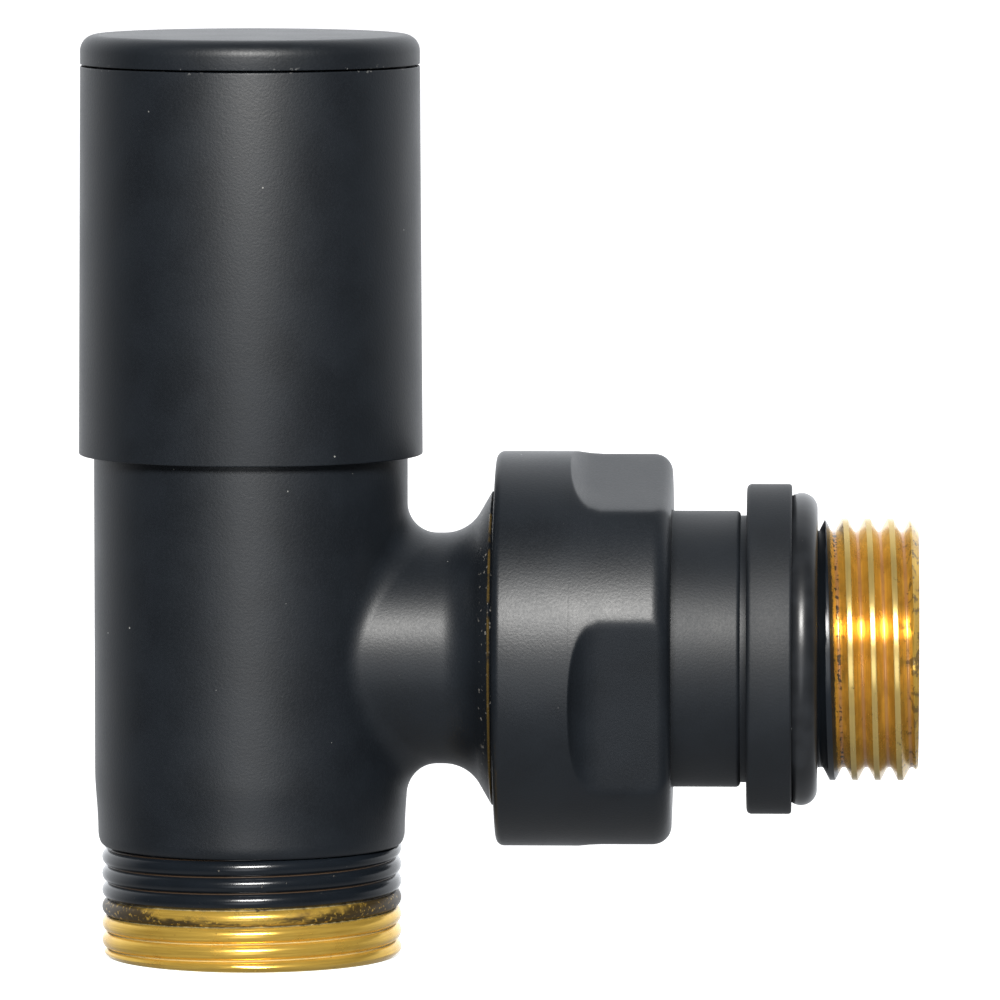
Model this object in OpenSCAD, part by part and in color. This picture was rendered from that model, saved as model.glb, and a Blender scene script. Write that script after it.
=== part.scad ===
// Angled manual radiator valve with a screw-down handle, a union nut and a
// self-sealing tailpiece. Millimetres.
// Origin: centre of the pipe thread's end face. +Z runs up the barrel to the
// handle, +X runs out of the branch to the radiator. The valve is drawn shut.
// Threads that move are drawn as plain running cylinders; the two threads that
// meet other makers' parts are drawn as rings at their true pitch.

/* [Pipe end] */
// Outside diameter of the thread for the pipe's compression nut
pipe_thread_d = 24; // [20:0.1:29]
// Pitch of the pipe thread, 19 turns to the inch
pipe_thread_pitch = 1.337; // [1:0.001:1.6]
// Length of the pipe thread
pipe_thread_l = 9; // [7:0.05:11]
// Metal between the root of the pipe thread and the pipe's bore
pipe_wall = 3; // [2:0.1:4]
// Depth of the sealing cone in the mouth of the pipe's bore
pipe_cone_l = 2.5; // [1.5:0.1:3]

/* [Body] */
// Waterway through the valve seat
seat_bore_d = 12; // [9:0.1:15]
// Width of the raised seat's flat lip
seat_lip = 1.2; // [0.8:0.1:1.8]
// Height of the seat above the chamber floor
seat_rise = 1.4; // [1:0.1:2]
// Metal between the chamber floor and the pipe's stop
seat_web = 3.8; // [2.5:0.1:5]
// Metal between the headwork's thread and the outside of the barrel
barrel_wall = 3.05; // [2.5:0.05:4]
// How much slimmer the barrel is just above the pipe thread, on the radius
barrel_taper = 0.25; // [0:0.05:0.5]
// Height of the branch's centre line above the pipe end
branch_z = 24.75; // [20:0.1:29]
// Waterway through the branch
branch_bore_d = 13; // [10.5:0.1:14]
// Metal around the branch at its narrowest
branch_wall = 2.75; // [2:0.05:3]
// Distance from the barrel's side to the narrowest place of the branch
branch_reach = 2.95; // [2.4:0.05:4]
// Radius of the hollow curve where the branch flares to the union thread
flare_r = 3.3; // [2.6:0.1:3.9]
// Length of the union thread on the branch
union_l = 8.15; // [6.5:0.05:10]

/* [Handle] */
// Height of the handle's lower edge above the pipe end, valve shut
rim_z = 40.35; // [39.5:0.05:48]
// Height of the handle
handle_h = 33.5; // [29:0.1:41]
// Travel of the handle between shut and fully open
lift = 4.5; // [3:0.1:5]
// Wall of the handle's skirt
skirt_wall = 0.9; // [0.7:0.05:1.5]
// Running gap between skirt and barrel
skirt_gap = 0.3; // [0.3:0.05:0.6]
// How much slimmer the handle is at its top, on the radius
handle_draft = 0.2; // [0:0.05:0.4]
// Thickness of the top disc above the seam
cap_t = 2.35; // [1.8:0.05:3]
// Radius of the top disc's edge
cap_edge_r = 1.3; // [0.5:0.1:1.6]
// Width of the seam between top disc and sleeve
seam = 0.15; // [0.1:0.01:0.3]

/* [Headwork] */
// Diameter of the spindle where it is sealed
spindle_d = 8; // [7:0.1:9.6]
// Diameter of the spindle's drive thread
spindle_thread_d = 10; // [9.8:0.1:11.6]
// Length of the drive thread on the spindle
spindle_thread_l = 9.5; // [8:0.1:11]
// Number of teeth on the spindle's splined end
spline_teeth = 18; // [12:1:24]
// Depth of a spline tooth
spline_depth = 0.4; // [0.3:0.05:0.6]
// Length of the splined end
spline_l = 4.5; // [3.5:0.1:5.5]

/* [Tail and union] */
// Outside diameter of the thread that screws into the radiator
tail_thread_d = 20.955; // [17.4:0.001:25.2]
// Pitch of the radiator thread, 14 turns to the inch
tail_thread_pitch = 1.814; // [1.3:0.001:2.2]
// Length of the radiator thread
tail_thread_l = 7.95; // [6.5:0.05:12]
// Width across flats of the hexagon inside the tail, for a key
tail_key_af = 12; // [10:0.1:13]
// Length of the tail between its collar and its shoulder
tail_neck_l = 9.2; // [8:0.1:14]
// Width of the loose backing ring
ring_w = 3.6; // [3:0.1:5]
// Outside diameter of the backing ring
ring_d = 26.4; // [26:0.1:31]
// Thickness of the rubber ring that meets the radiator
radiator_seal_t = 2.6; // [2:0.1:3]
// Length of the union nut
nut_l = 14.05; // [13:0.05:17]
// Metal between the nut's thread and its flats
nut_wall = 1.45; // [1:0.05:2]
// Depth of the flats below the nut's round
flat_depth = 1.7; // [1:0.05:2.2]
// Length of the flats, with their run-out
flat_l = 8; // [6:0.1:9]
// Angle of the first flat below the valve's near side
flat_turn = 14; // [0:1:89]

/* [Hidden] */

$fn = 96;
cut = 1;                 // how far a cutting solid runs past the face it cuts
fit_gap = 0.03;          // between pieces that are screwed or pressed together
run_gap = 0.05;          // between pieces that turn or slide on each other
ring_gap = 0.1;          // between the tail and the loose rings around it
chamfer = 0.6;           // of the ends of threads and of the tail's nose
edge = 0.4;              // of other turned corners
coating = "#2b2d31";
brass = "#c9a13b";
rubber = "#1b1b1c";
fibre = "#7a2f24";
plastic = "#3c3c3f";
steel = "#b9bcc0";

// Whitworth thread form, as shares of the pitch
thread_depth_share = 0.6403;
thread_land_share = 1 / 6;
thread_flank_share = 1 / 3;
thread_start_share = 0.23;

// Pipe end
pipe_thread_r = pipe_thread_d / 2;
pipe_root_r = pipe_thread_r - thread_depth_share * pipe_thread_pitch;
pipe_bore_r = pipe_root_r - pipe_wall;
pipe_mouth_r = pipe_bore_r + pipe_cone_l * tan(30);

// Seat, shutter and chamber
seat_r = seat_bore_d / 2;
seat_slope = 0.4;
gasket_overhang = 0.2;
gasket_r = seat_r + seat_lip + gasket_overhang;
gasket_t = 2.4;
shutter_lip = 0.6;
shutter_r = gasket_r + shutter_lip;
chamber_gap = 1.2;
chamber_r = shutter_r + chamber_gap;
chamber_margin = 0.4;
branch_bore_r = branch_bore_d / 2;
seat_z = branch_z - branch_bore_r - chamber_margin;
chamber_z = seat_z - seat_rise;
chamber_top_z = branch_z + branch_bore_r + chamber_margin;
pipe_stop_z = chamber_z - seat_web;

// Barrel
headwork_step = 0.3;
headwork_r = chamber_r + headwork_step;
barrel_r = headwork_r + barrel_wall;
barrel_foot_r = barrel_r - barrel_taper;
barrel_foot_l = 6;
shoulder_r = 1.1;
handle_cover = 1.8;      // how far the open handle still reaches over the barrel
body_top_z = rim_z + lift + handle_cover;
washer_seat_w = 0.9;
washer_seat_l = 1;

// Branch and union thread
branch_r = branch_bore_r + branch_wall;
branch_neck_x = barrel_r + branch_reach;
flare_angle = 60;

// Tail, from the radiator thread inwards
tail_thread_r = tail_thread_d / 2;
tail_root_r = tail_thread_r - thread_depth_share * tail_thread_pitch;
ring_pass_gap = 0.3;     // lets the backing ring pass over the radiator thread
ring_bore_r = tail_thread_r + ring_pass_gap;
tail_plain_r = ring_bore_r - ring_gap;
tail_shoulder_w = 0.37;
tail_shoulder_edge = 0.35;
tail_neck_r = tail_plain_r + tail_shoulder_w;
tail_collar_w = 1.25;
tail_collar_r = tail_neck_r + tail_collar_w;
tail_collar_t = 2.45;
tail_bore_r = tail_key_af / 2;
tail_key_l = 9.5;
key_corner_r = tail_key_af / 2 / cos(30);
tail_seal_t = 1.4;
nose_wall = 1.15;
tail_groove_r = key_corner_r + nose_wall;
nose_r = tail_groove_r + tail_seal_t + run_gap;
nose_bore_r = nose_r + run_gap;
nose_l = 4.9;
nose_end_gap = 0.3;

union_collar_step = 0.3;
union_r = tail_collar_r + union_collar_step;
flare_end_x = branch_neck_x + flare_r * sin(flare_angle);
flare_end_r = branch_r + flare_r * (1 - cos(flare_angle));
flange_x = flare_end_x + (union_r - flare_end_r) / tan(flare_angle);
union_end_x = flange_x + union_l;

// Union nut
nut_flange_gap = 0.35;
nut_x = flange_x + nut_flange_gap;
nut_end_x = nut_x + nut_l;
nut_thread_r = union_r + run_gap;
nut_hole_r = tail_neck_r + ring_gap;
nut_flat_r = nut_thread_r + nut_wall;
nut_r = nut_flat_r + flat_depth;
nut_rim_near_r = 0.65;
nut_rim_far_r = 1.6;
flat_rim_r = 1.1;
runout_r = 2.6;
nut_flats = 4;

// Places along the tail
collar_x = union_end_x + run_gap;
collar_end_x = collar_x + tail_collar_t;
nose_x = collar_x - nose_l;
shoulder_x = collar_end_x + tail_neck_l;
ring_play = 0.5;
ring_x = shoulder_x + ring_play;
ring_end_x = ring_x + ring_w;
radiator_seal_minor_r = radiator_seal_t / 2;
relief_depth = 0.83;
relief_r = tail_plain_r - relief_depth;
relief_lead = 0.15;
radiator_seal_inner_r = relief_r + run_gap;
radiator_seal_major_r = radiator_seal_inner_r + radiator_seal_minor_r;
pocket_l = 0.6;
relief_x = ring_end_x - pocket_l - relief_lead;
radiator_seal_x = ring_end_x - pocket_l + run_gap + radiator_seal_minor_r;
tail_thread_x = radiator_seal_x + radiator_seal_minor_r + ring_gap;
tail_end_x = tail_thread_x + tail_thread_l;

// Handle, from its top downwards
handle_top_z = rim_z + handle_h;
seam_z = handle_top_z - cap_t;
sleeve_top_z = seam_z - seam;
cap_plug_l = 2.1;
core_top_z = sleeve_top_z - cap_plug_l;
screw_well_l = 3.8;
web_z = core_top_z - screw_well_l;
web_t = 1.6;
core_z = web_z - spline_l;
skirt_bore_r = barrel_r + skirt_gap;
rim_r = skirt_bore_r + skirt_wall;
handle_top_r = rim_r - handle_draft;
sleeve_collar_w = 1.2;
collar_bore_r = skirt_bore_r - sleeve_collar_w;

// Headwork, from the gland nut down to its lower end
hex_cover = 0.1;
hex_af = 2 * (headwork_r + washer_seat_w + hex_cover);
hex_z = body_top_z;
hex_t = 3;
gland_hex_af = 14;
gland_hex_t = 3.5;
core_gap = 0.8;
gland_top_z = core_z - core_gap;
headwork_top_z = gland_top_z - gland_hex_t;
headwork_lead = 2;
headwork_z = chamber_top_z + headwork_lead;
spindle_r = spindle_d / 2;
spindle_bore_r = spindle_r + run_gap;
gland_seal_t = 1.8;
gland_seal_major_r = spindle_r + ring_gap + gland_seal_t / 2;
gland_w = 2;
gland_wall = 2.2;
gland_l = 6;
gland_bore_r = spindle_r + gland_w;
headwork_neck_r = gland_bore_r + gland_wall;
gland_floor_z = headwork_top_z - gland_l;
gland_washer_z = gland_floor_z + gland_seal_t + 2 * fit_gap;
gland_washer_t = 0.8;
gland_plug_z = gland_washer_z + gland_washer_t;

// Spindle
spindle_thread_r = spindle_thread_d / 2;
hub_h = 5.6;
disc_t = 2.8;
shutter_z = seat_z + gasket_t + run_gap / 2;
hub_z = shutter_z + disc_t;
hub_top_z = hub_z + hub_h;
spindle_z = hub_top_z + run_gap;
spindle_thread_top_z = spindle_z + spindle_thread_l;
spindle_thread_gap = 0.45;
thread_bore_top_z = spindle_thread_top_z + lift + spindle_thread_gap;
spindle_top_gap = 0.2;
spindle_top_z = web_z - spindle_top_gap;
spline_tip_r = spindle_r - 0.1;
spline_root_r = spline_tip_r - spline_depth;
stub_r = 3;
stub_l = 3.7;
clip_t = 0.8;
clip_drop = 2.4;
clip_grip = 0.4;
clip_stand = 0.5;
clip_z = spindle_z - clip_drop;
clip_inner_r = stub_r - clip_grip;
clip_outer_r = stub_r + clip_stand;
hub_wall = 2.5;
hub_r = stub_r + hub_wall;
spindle_seal_t = 1.36;
spindle_groove_r = spindle_r - spindle_seal_t - 2 * fit_gap;
spindle_seal_lead = 1.6;
spindle_seal_z = thread_bore_top_z + spindle_seal_lead;

// Screws
shutter_screw_r = 2;
shutter_screw_l = 3.5;
shutter_head_r = 3.4;
shutter_head_t = 1.3;
handle_screw_r = 2;
handle_screw_l = 8;
handle_head_r = 3.5;
handle_head_t = 2.3;
handle_washer_t = 0.6;
handle_washer_r = 4.2;
handle_washer_z = web_z + web_t;
handle_head_z = handle_washer_z + handle_washer_t;

// Points along an arc from angle a to angle b, in steps
function arc(cx, cy, r, a, b, steps = 8) =
    [for (i = [0:steps]) let (t = a + (b - a) * i / steps) [cx + r * cos(t), cy + r * sin(t)]];

// Right-hand edge of a thread's outline, from y = 0 up: a short start at the
// root, then a flank up, a land and a flank down for each ridge
function thread_edge(r, pitch, length) =
    let (root = r - thread_depth_share * pitch,
         land = thread_land_share * pitch,
         flank = thread_flank_share * pitch,
         start = thread_start_share * pitch,
         ridges = floor((length - start) / pitch))
    concat([[root, 0]],
           [for (i = [0:ridges - 1])
               let (y = start + i * pitch)
               each [[root, y], [r, y + flank], [r, y + flank + land], [root, y + 2 * flank + land]]],
           [[root, length]]);

// Turned solid about Z from an outline of [radius, height] points
module turned(points) {
    rotate_extrude() polygon(points);
}

// Turned solid about X from an outline of [radius, distance along X] points
module turned_x(points) {
    rotate([0, 90, 0]) rotate_extrude() polygon(points);
}

// Washer-like ring about Z
module ring(inner, outer, height) {
    difference() {
        cylinder(r = outer, h = height);
        translate([0, 0, -cut]) cylinder(r = inner, h = height + 2 * cut);
    }
}

// Round rubber ring about Z, centred on the origin
module o_ring(major, minor) {
    rotate_extrude() translate([major, 0]) circle(r = minor);
}

// Hexagonal prism about Z from its width across flats
module hexagon(af, height) {
    cylinder(r = af / 2 / cos(30), h = height, $fn = 6);
}

// Splined prism about Z: straight-sided teeth between the root and the tip radius
module spline(tip, root, height) {
    step = 360 / spline_teeth;
    linear_extrude(height) polygon([
        for (i = [0:spline_teeth - 1], k = [0:3])
            let (radius = k == 1 || k == 2 ? tip : root,
                 angle = step * (i + [0.08, 0.3, 0.7, 0.92][k]))
            radius * [cos(angle), sin(angle)]
    ]);
}

// Outside of the barrel with the pipe thread below it
module barrel() {
    turned(concat(
        [[0, 0]],
        thread_edge(pipe_thread_r, pipe_thread_pitch, pipe_thread_l),
        arc(barrel_foot_r - shoulder_r, pipe_thread_l + shoulder_r, shoulder_r, -90, 0),
        [[barrel_r, pipe_thread_l + barrel_foot_l], [barrel_r, body_top_z - edge],
         [barrel_r - edge, body_top_z], [0, body_top_z]]
    ));
}

// Outside of the branch with its flare and the union thread's plain cylinder
module branch() {
    translate([0, 0, branch_z]) turned_x(concat(
        [[0, 0], [branch_r, 0]],
        arc(branch_r + flare_r, branch_neck_x, flare_r, 180, 180 - flare_angle),
        [[union_r, flange_x], [union_r, union_end_x - chamfer],
         [union_r - chamfer, union_end_x], [0, union_end_x]]
    ));
}

module valve_body() {
    color(coating) difference() {
        union() {
            barrel();
            branch();
        }
        // Sealing cone, pipe bore and waterway up through the seat
        translate([0, 0, -cut]) cylinder(r = pipe_mouth_r, h = cut);
        cylinder(r1 = pipe_mouth_r, r2 = pipe_bore_r, h = pipe_cone_l);
        translate([0, 0, pipe_cone_l - 0.01]) cylinder(r = pipe_bore_r, h = pipe_stop_z - pipe_cone_l + 0.01);
        translate([0, 0, pipe_stop_z - cut]) cylinder(r = seat_r, h = seat_z - pipe_stop_z + 2 * cut);
        // Chamber around and above the raised seat
        turned([[seat_r + seat_lip + seat_slope, chamber_z], [chamber_r, chamber_z],
                [chamber_r, chamber_top_z], [headwork_r, chamber_top_z],
                [headwork_r, body_top_z - washer_seat_l],
                [headwork_r + washer_seat_w, body_top_z - washer_seat_l],
                [headwork_r + washer_seat_w, body_top_z + cut], [0, body_top_z + cut],
                [0, seat_z], [seat_r + seat_lip, seat_z]]);
        // Waterway out through the branch, and the bore for the tail's nose
        translate([0, 0, branch_z]) rotate([0, 90, 0]) {
            cylinder(r = branch_bore_r, h = union_end_x);
            translate([0, 0, nose_x - nose_end_gap]) cylinder(r = nose_bore_r, h = union_end_x);
        }
    }
}

module headwork() {
    color(brass) difference() {
        union() {
            translate([0, 0, headwork_z])
                cylinder(r = headwork_r - fit_gap, h = body_top_z - headwork_z);
            translate([0, 0, hex_z]) hexagon(hex_af, hex_t);
            translate([0, 0, hex_z]) cylinder(r = headwork_neck_r, h = headwork_top_z - hex_z);
        }
        translate([0, 0, headwork_z - cut])
            cylinder(r = spindle_thread_r + run_gap, h = thread_bore_top_z - headwork_z + cut);
        translate([0, 0, headwork_z]) cylinder(r = spindle_bore_r, h = headwork_top_z - headwork_z);
        translate([0, 0, gland_floor_z]) cylinder(r = gland_bore_r, h = headwork_top_z);
    }
}

module headwork_gasket() {
    color(fibre) translate([0, 0, body_top_z - washer_seat_l])
        ring(headwork_r + fit_gap, headwork_r + washer_seat_w - fit_gap, washer_seat_l);
}

module gland_seal() {
    color(rubber) translate([0, 0, gland_floor_z + fit_gap + gland_seal_t / 2])
        o_ring(gland_seal_major_r, gland_seal_t / 2);
}

module gland_washer() {
    color(steel) translate([0, 0, gland_washer_z])
        ring(spindle_r + ring_gap, gland_bore_r - fit_gap, gland_washer_t);
}

module gland_nut() {
    color(brass) difference() {
        union() {
            translate([0, 0, gland_plug_z])
                cylinder(r = gland_bore_r - fit_gap, h = gland_top_z - gland_plug_z);
            translate([0, 0, headwork_top_z]) hexagon(gland_hex_af, gland_hex_t);
        }
        translate([0, 0, gland_plug_z - cut])
            cylinder(r = spindle_r + ring_gap, h = gland_top_z - gland_plug_z + 2 * cut);
    }
}

module spindle() {
    color(brass) difference() {
        union() {
            translate([0, 0, spindle_z - stub_l]) cylinder(r = stub_r, h = stub_l);
            translate([0, 0, spindle_z]) cylinder(r = spindle_thread_r, h = spindle_thread_l);
            translate([0, 0, spindle_thread_top_z])
                cylinder(r = spindle_r, h = core_z - spindle_thread_top_z - 0.2);
            translate([0, 0, core_z - 0.2])
                spline(spline_tip_r, spline_root_r, spindle_top_z - core_z + 0.2);
        }
        translate([0, 0, clip_z - 0.1]) ring(clip_inner_r - 0.1, stub_r + cut, clip_t + 0.2);
        translate([0, 0, spindle_seal_z - spindle_seal_t / 2 - 0.1])
            ring(spindle_groove_r, spindle_r + cut, spindle_seal_t + 0.2);
        translate([0, 0, spindle_top_z - handle_screw_l])
            cylinder(r = handle_screw_r, h = handle_screw_l + cut);
    }
}

module spindle_seal() {
    color(rubber) translate([0, 0, spindle_seal_z])
        o_ring(spindle_groove_r + fit_gap + spindle_seal_t / 2, spindle_seal_t / 2);
}

module shutter() {
    color(brass) difference() {
        union() {
            translate([0, 0, shutter_z - gasket_t / 2])
                cylinder(r = shutter_r, h = disc_t + gasket_t / 2);
            translate([0, 0, hub_z]) cylinder(r = hub_r, h = hub_h);
        }
        translate([0, 0, shutter_z - gasket_t]) cylinder(r = gasket_r + fit_gap, h = gasket_t);
        translate([0, 0, shutter_z - cut]) cylinder(r = shutter_screw_r, h = shutter_screw_l + cut);
        translate([0, 0, spindle_z - stub_l - 0.1]) cylinder(r = stub_r + run_gap, h = stub_l + cut);
        translate([0, 0, clip_z - 0.1]) cylinder(r = clip_outer_r + 0.1, h = clip_t + 0.2);
    }
}

// Open spring ring that keeps the shutter on the spindle's stub
module shutter_clip() {
    gap = 1.4;
    color(steel) translate([0, 0, clip_z]) difference() {
        ring(clip_inner_r, clip_outer_r, clip_t);
        translate([0, -gap / 2, -cut]) cube([clip_outer_r + cut, gap, clip_t + 2 * cut]);
    }
}

module shutter_gasket() {
    color(rubber) translate([0, 0, shutter_z - gasket_t])
        ring(shutter_screw_r + 0.1, gasket_r, gasket_t);
}

module shutter_screw() {
    head_z = shutter_z - gasket_t - shutter_head_t;
    slot_w = 1;
    slot_depth = 0.7;
    color(brass) difference() {
        union() {
            translate([0, 0, head_z]) cylinder(r = shutter_head_r, h = shutter_head_t);
            translate([0, 0, head_z])
                cylinder(r = shutter_screw_r - fit_gap, h = shutter_z + shutter_screw_l - head_z - 0.2);
        }
        translate([-shutter_head_r - cut, -slot_w / 2, head_z - cut])
            cube([2 * (shutter_head_r + cut), slot_w, cut + slot_depth]);
    }
}

// Moulded core: a ring that carries the sleeve, a web, ribs and a splined hub
module handle_core() {
    core_h = core_top_z - core_z;
    hub_outer_r = spindle_r + 2.6;
    ring_inner_r = collar_bore_r - 0.8;
    rib_t = 1.2;
    color(plastic) difference() {
        union() {
            translate([0, 0, core_z]) ring(ring_inner_r, skirt_bore_r - fit_gap, core_h);
            translate([0, 0, core_z]) cylinder(r = hub_outer_r, h = web_z + web_t - core_z);
            translate([0, 0, web_z]) cylinder(r = ring_inner_r + 0.4, h = web_t);
            for (i = [0:5]) rotate([0, 0, i * 60])
                translate([hub_outer_r - 0.5, -rib_t / 2, core_z])
                    cube([ring_inner_r - hub_outer_r + 0.9, rib_t, web_z + web_t - core_z]);
        }
        translate([0, 0, core_z - cut])
            spline(spline_tip_r + fit_gap, spline_root_r + fit_gap, spline_l + cut);
        translate([0, 0, web_z - cut]) cylinder(r = handle_screw_r + 0.1, h = web_t + 2 * cut);
    }
}

module handle_sleeve() {
    color(coating) turned([
        [skirt_bore_r, rim_z], [rim_r, rim_z], [handle_top_r, sleeve_top_z],
        [collar_bore_r, sleeve_top_z], [collar_bore_r, core_top_z + fit_gap],
        [skirt_bore_r, core_top_z + fit_gap]
    ]);
}

module handle_cap() {
    plug_r = collar_bore_r - fit_gap;
    plug_wall = 1.2;
    color(coating) turned(concat(
        [[0, seam_z], [plug_r - plug_wall, seam_z], [plug_r - plug_wall, core_top_z], [plug_r, core_top_z],
         [plug_r, seam_z], [handle_top_r, seam_z]],
        arc(handle_top_r - cap_edge_r, handle_top_z - cap_edge_r, cap_edge_r, 0, 90),
        [[0, handle_top_z]]
    ));
}

module handle_washer() {
    color(steel) translate([0, 0, handle_washer_z])
        ring(handle_screw_r + 0.15, handle_washer_r, handle_washer_t);
}

module handle_screw() {
    shank_l = handle_head_z - spindle_top_z + handle_screw_l - 1;
    key_af = 2.5;
    key_depth = 1.3;
    color(steel) difference() {
        union() {
            translate([0, 0, handle_head_z]) cylinder(r = handle_head_r, h = handle_head_t);
            translate([0, 0, handle_head_z - shank_l])
                cylinder(r = handle_screw_r - fit_gap, h = shank_l + 0.5);
        }
        translate([0, 0, handle_head_z + handle_head_t - key_depth]) hexagon(key_af, key_depth + cut);
    }
}

// One flat of the union nut with its hollow run-out, cut at the top of the nut
module nut_flat_cut() {
    flat_x = nut_end_x - flat_l;
    runout_l = sqrt(pow(runout_r, 2) - pow(runout_r - flat_depth, 2));
    climb = acos((runout_r - flat_depth) / runout_r);
    translate([0, nut_r, 0]) rotate([90, 0, 0]) linear_extrude(2 * nut_r) polygon(concat(
        [[nut_end_x + cut, nut_r + cut], [nut_end_x + cut, nut_flat_r - flat_rim_r]],
        arc(nut_end_x - flat_rim_r, nut_flat_r - flat_rim_r, flat_rim_r, 0, 90),
        arc(flat_x + runout_l, nut_flat_r + runout_r, runout_r, -90, -90 - climb),
        [[flat_x, nut_r + cut]]
    ));
}

module union_nut() {
    color(coating) translate([0, 0, branch_z]) difference() {
        turned_x(concat(
            [[0, nut_x]],
            arc(nut_r - nut_rim_near_r, nut_x + nut_rim_near_r, nut_rim_near_r, -90, 0),
            arc(nut_r - nut_rim_far_r, nut_end_x - nut_rim_far_r, nut_rim_far_r, 0, 90),
            [[0, nut_end_x]]
        ));
        turned_x([[0, nut_x - cut], [nut_thread_r + chamfer + cut, nut_x - cut], [nut_thread_r, nut_x + chamfer],
                  [nut_thread_r, collar_end_x + run_gap], [nut_hole_r, collar_end_x + run_gap],
                  [nut_hole_r, nut_end_x + cut], [0, nut_end_x + cut]]);
        for (i = [0:nut_flats - 1])
            rotate([90 + flat_turn + i * 360 / nut_flats, 0, 0]) nut_flat_cut();
    }
}

module tailpiece() {
    color(brass) translate([0, 0, branch_z]) difference() {
        union() {
            turned_x(concat(
                [[0, nose_x], [nose_r - chamfer, nose_x], [nose_r, nose_x + chamfer], [nose_r, collar_x],
                 [tail_collar_r, collar_x], [tail_collar_r, collar_end_x],
                 [tail_neck_r, collar_end_x]],
                arc(tail_neck_r - tail_shoulder_edge, shoulder_x - tail_shoulder_edge, tail_shoulder_edge, 0, 90),
                [[tail_plain_r, shoulder_x], [tail_plain_r, relief_x], [relief_r, relief_x],
                 [relief_r, tail_thread_x], [0, tail_thread_x]]
            ));
            translate([tail_end_x, 0, 0]) mirror([1, 0, 0]) turned_x(concat(
                [[0, 0]], thread_edge(tail_thread_r, tail_thread_pitch, tail_thread_l),
                [[tail_root_r, tail_thread_l + cut], [0, tail_thread_l + cut]]
            ));
        }
        rotate([0, 90, 0]) {
            translate([0, 0, nose_x - cut]) cylinder(r = tail_bore_r, h = tail_end_x - nose_x + 2 * cut);
            translate([0, 0, nose_x - cut]) hexagon(tail_key_af, tail_key_l + cut);
            translate([0, 0, collar_x - nose_l / 2 - tail_seal_t / 2 - 0.1])
                ring(tail_groove_r, nose_r + cut, tail_seal_t + 0.2);
        }
    }
}

module tail_seal() {
    color(rubber) translate([collar_x - nose_l / 2, 0, branch_z]) rotate([0, 90, 0])
        o_ring(tail_groove_r + 0.02 + tail_seal_t / 2, tail_seal_t / 2);
}

module backing_ring() {
    ring_r = ring_d / 2;
    ring_far_edge = 0.25;
    pocket_r = radiator_seal_major_r + radiator_seal_minor_r - 0.05;
    color(coating) translate([0, 0, branch_z]) turned_x(concat(
        [[ring_bore_r, ring_x]],
        arc(ring_r - edge, ring_x + edge, edge, -90, 0, 4),
        arc(ring_r - ring_far_edge, ring_end_x - ring_far_edge, ring_far_edge, 0, 90, 4),
        [[pocket_r, ring_end_x], [pocket_r, ring_end_x - pocket_l],
         [ring_bore_r, ring_end_x - pocket_l]]
    ));
}

module radiator_seal() {
    color(rubber) translate([radiator_seal_x, 0, branch_z]) rotate([0, 90, 0])
        o_ring(radiator_seal_major_r, radiator_seal_minor_r);
}

valve_body();
headwork();
headwork_gasket();
gland_seal();
gland_washer();
gland_nut();
spindle();
spindle_seal();
shutter();
shutter_clip();
shutter_gasket();
shutter_screw();
handle_core();
handle_sleeve();
handle_cap();
handle_washer();
handle_screw();
union_nut();
tailpiece();
tail_seal();
backing_ring();
radiator_seal();
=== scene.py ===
"""Visual model of an angled manual radiator valve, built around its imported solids.

Functions that work out a shape take and give millimetres; a mesh is scaled to
metres when it is made. "Along" is the distance along the axis a shape is turned on.
"""
import math

import bmesh
import bpy
import numpy as np
from bpy.props import FloatProperty, FloatVectorProperty, PointerProperty
from bpy.types import Operator, Panel, PropertyGroup
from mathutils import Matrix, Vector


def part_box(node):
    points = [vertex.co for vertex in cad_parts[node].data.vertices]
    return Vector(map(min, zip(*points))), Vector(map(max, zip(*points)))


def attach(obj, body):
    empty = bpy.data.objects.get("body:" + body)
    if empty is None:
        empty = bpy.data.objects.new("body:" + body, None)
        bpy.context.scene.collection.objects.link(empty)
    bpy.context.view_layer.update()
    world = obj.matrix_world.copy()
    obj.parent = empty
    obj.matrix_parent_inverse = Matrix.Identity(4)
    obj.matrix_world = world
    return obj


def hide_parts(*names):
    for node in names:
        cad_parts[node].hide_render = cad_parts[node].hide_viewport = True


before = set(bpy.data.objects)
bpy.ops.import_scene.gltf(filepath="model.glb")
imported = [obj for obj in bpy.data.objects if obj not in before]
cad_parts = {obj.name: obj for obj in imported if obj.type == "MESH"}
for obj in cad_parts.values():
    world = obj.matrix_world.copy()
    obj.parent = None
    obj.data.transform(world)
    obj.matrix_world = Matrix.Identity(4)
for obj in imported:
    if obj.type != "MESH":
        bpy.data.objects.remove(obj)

bl_info = {
    "name": "Angled radiator valve",
    "version": (1, 0, 0),
    "blender": (4, 5, 0),
    "location": "3D View > Sidebar > Valve",
    "description": "Builds the coated body, handle, nut and tail of an angled radiator valve",
    "category": "Object",
}

MM = 0.001
TURN = 2 * math.pi
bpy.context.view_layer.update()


def extent(node):
    """A node's lowest and highest corner in millimetres."""
    low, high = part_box(node)
    return np.array(low) / MM, np.array(high) / MM


SLEEVE_LOW, SLEEVE_HIGH = extent("handle_sleeve")
CAP_LOW, CAP_HIGH = extent("handle_cap")
BODY_HIGH = extent("valve_body")[1]
NUT_LOW, NUT_HIGH = extent("union_nut")
TAIL_LOW, TAIL_HIGH = extent("tailpiece")
RING_LOW, RING_HIGH = extent("backing_ring")
SEAL_LOW, SEAL_HIGH = extent("radiator_seal")
NOSE_SEAL_LOW, NOSE_SEAL_HIGH = extent("tail_seal")
BRANCH_Z = (TAIL_LOW[2] + TAIL_HIGH[2]) / 2

# Thread form with 55 degree flanks, as shares of the pitch: its depth, the radius of its
# rounding and how far from the crest that rounding meets the flank
THREAD_DEPTH = 0.6403
THREAD_ROUND = 0.1373
THREAD_ROUND_END = THREAD_ROUND * math.cos(math.radians(27.5))
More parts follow.
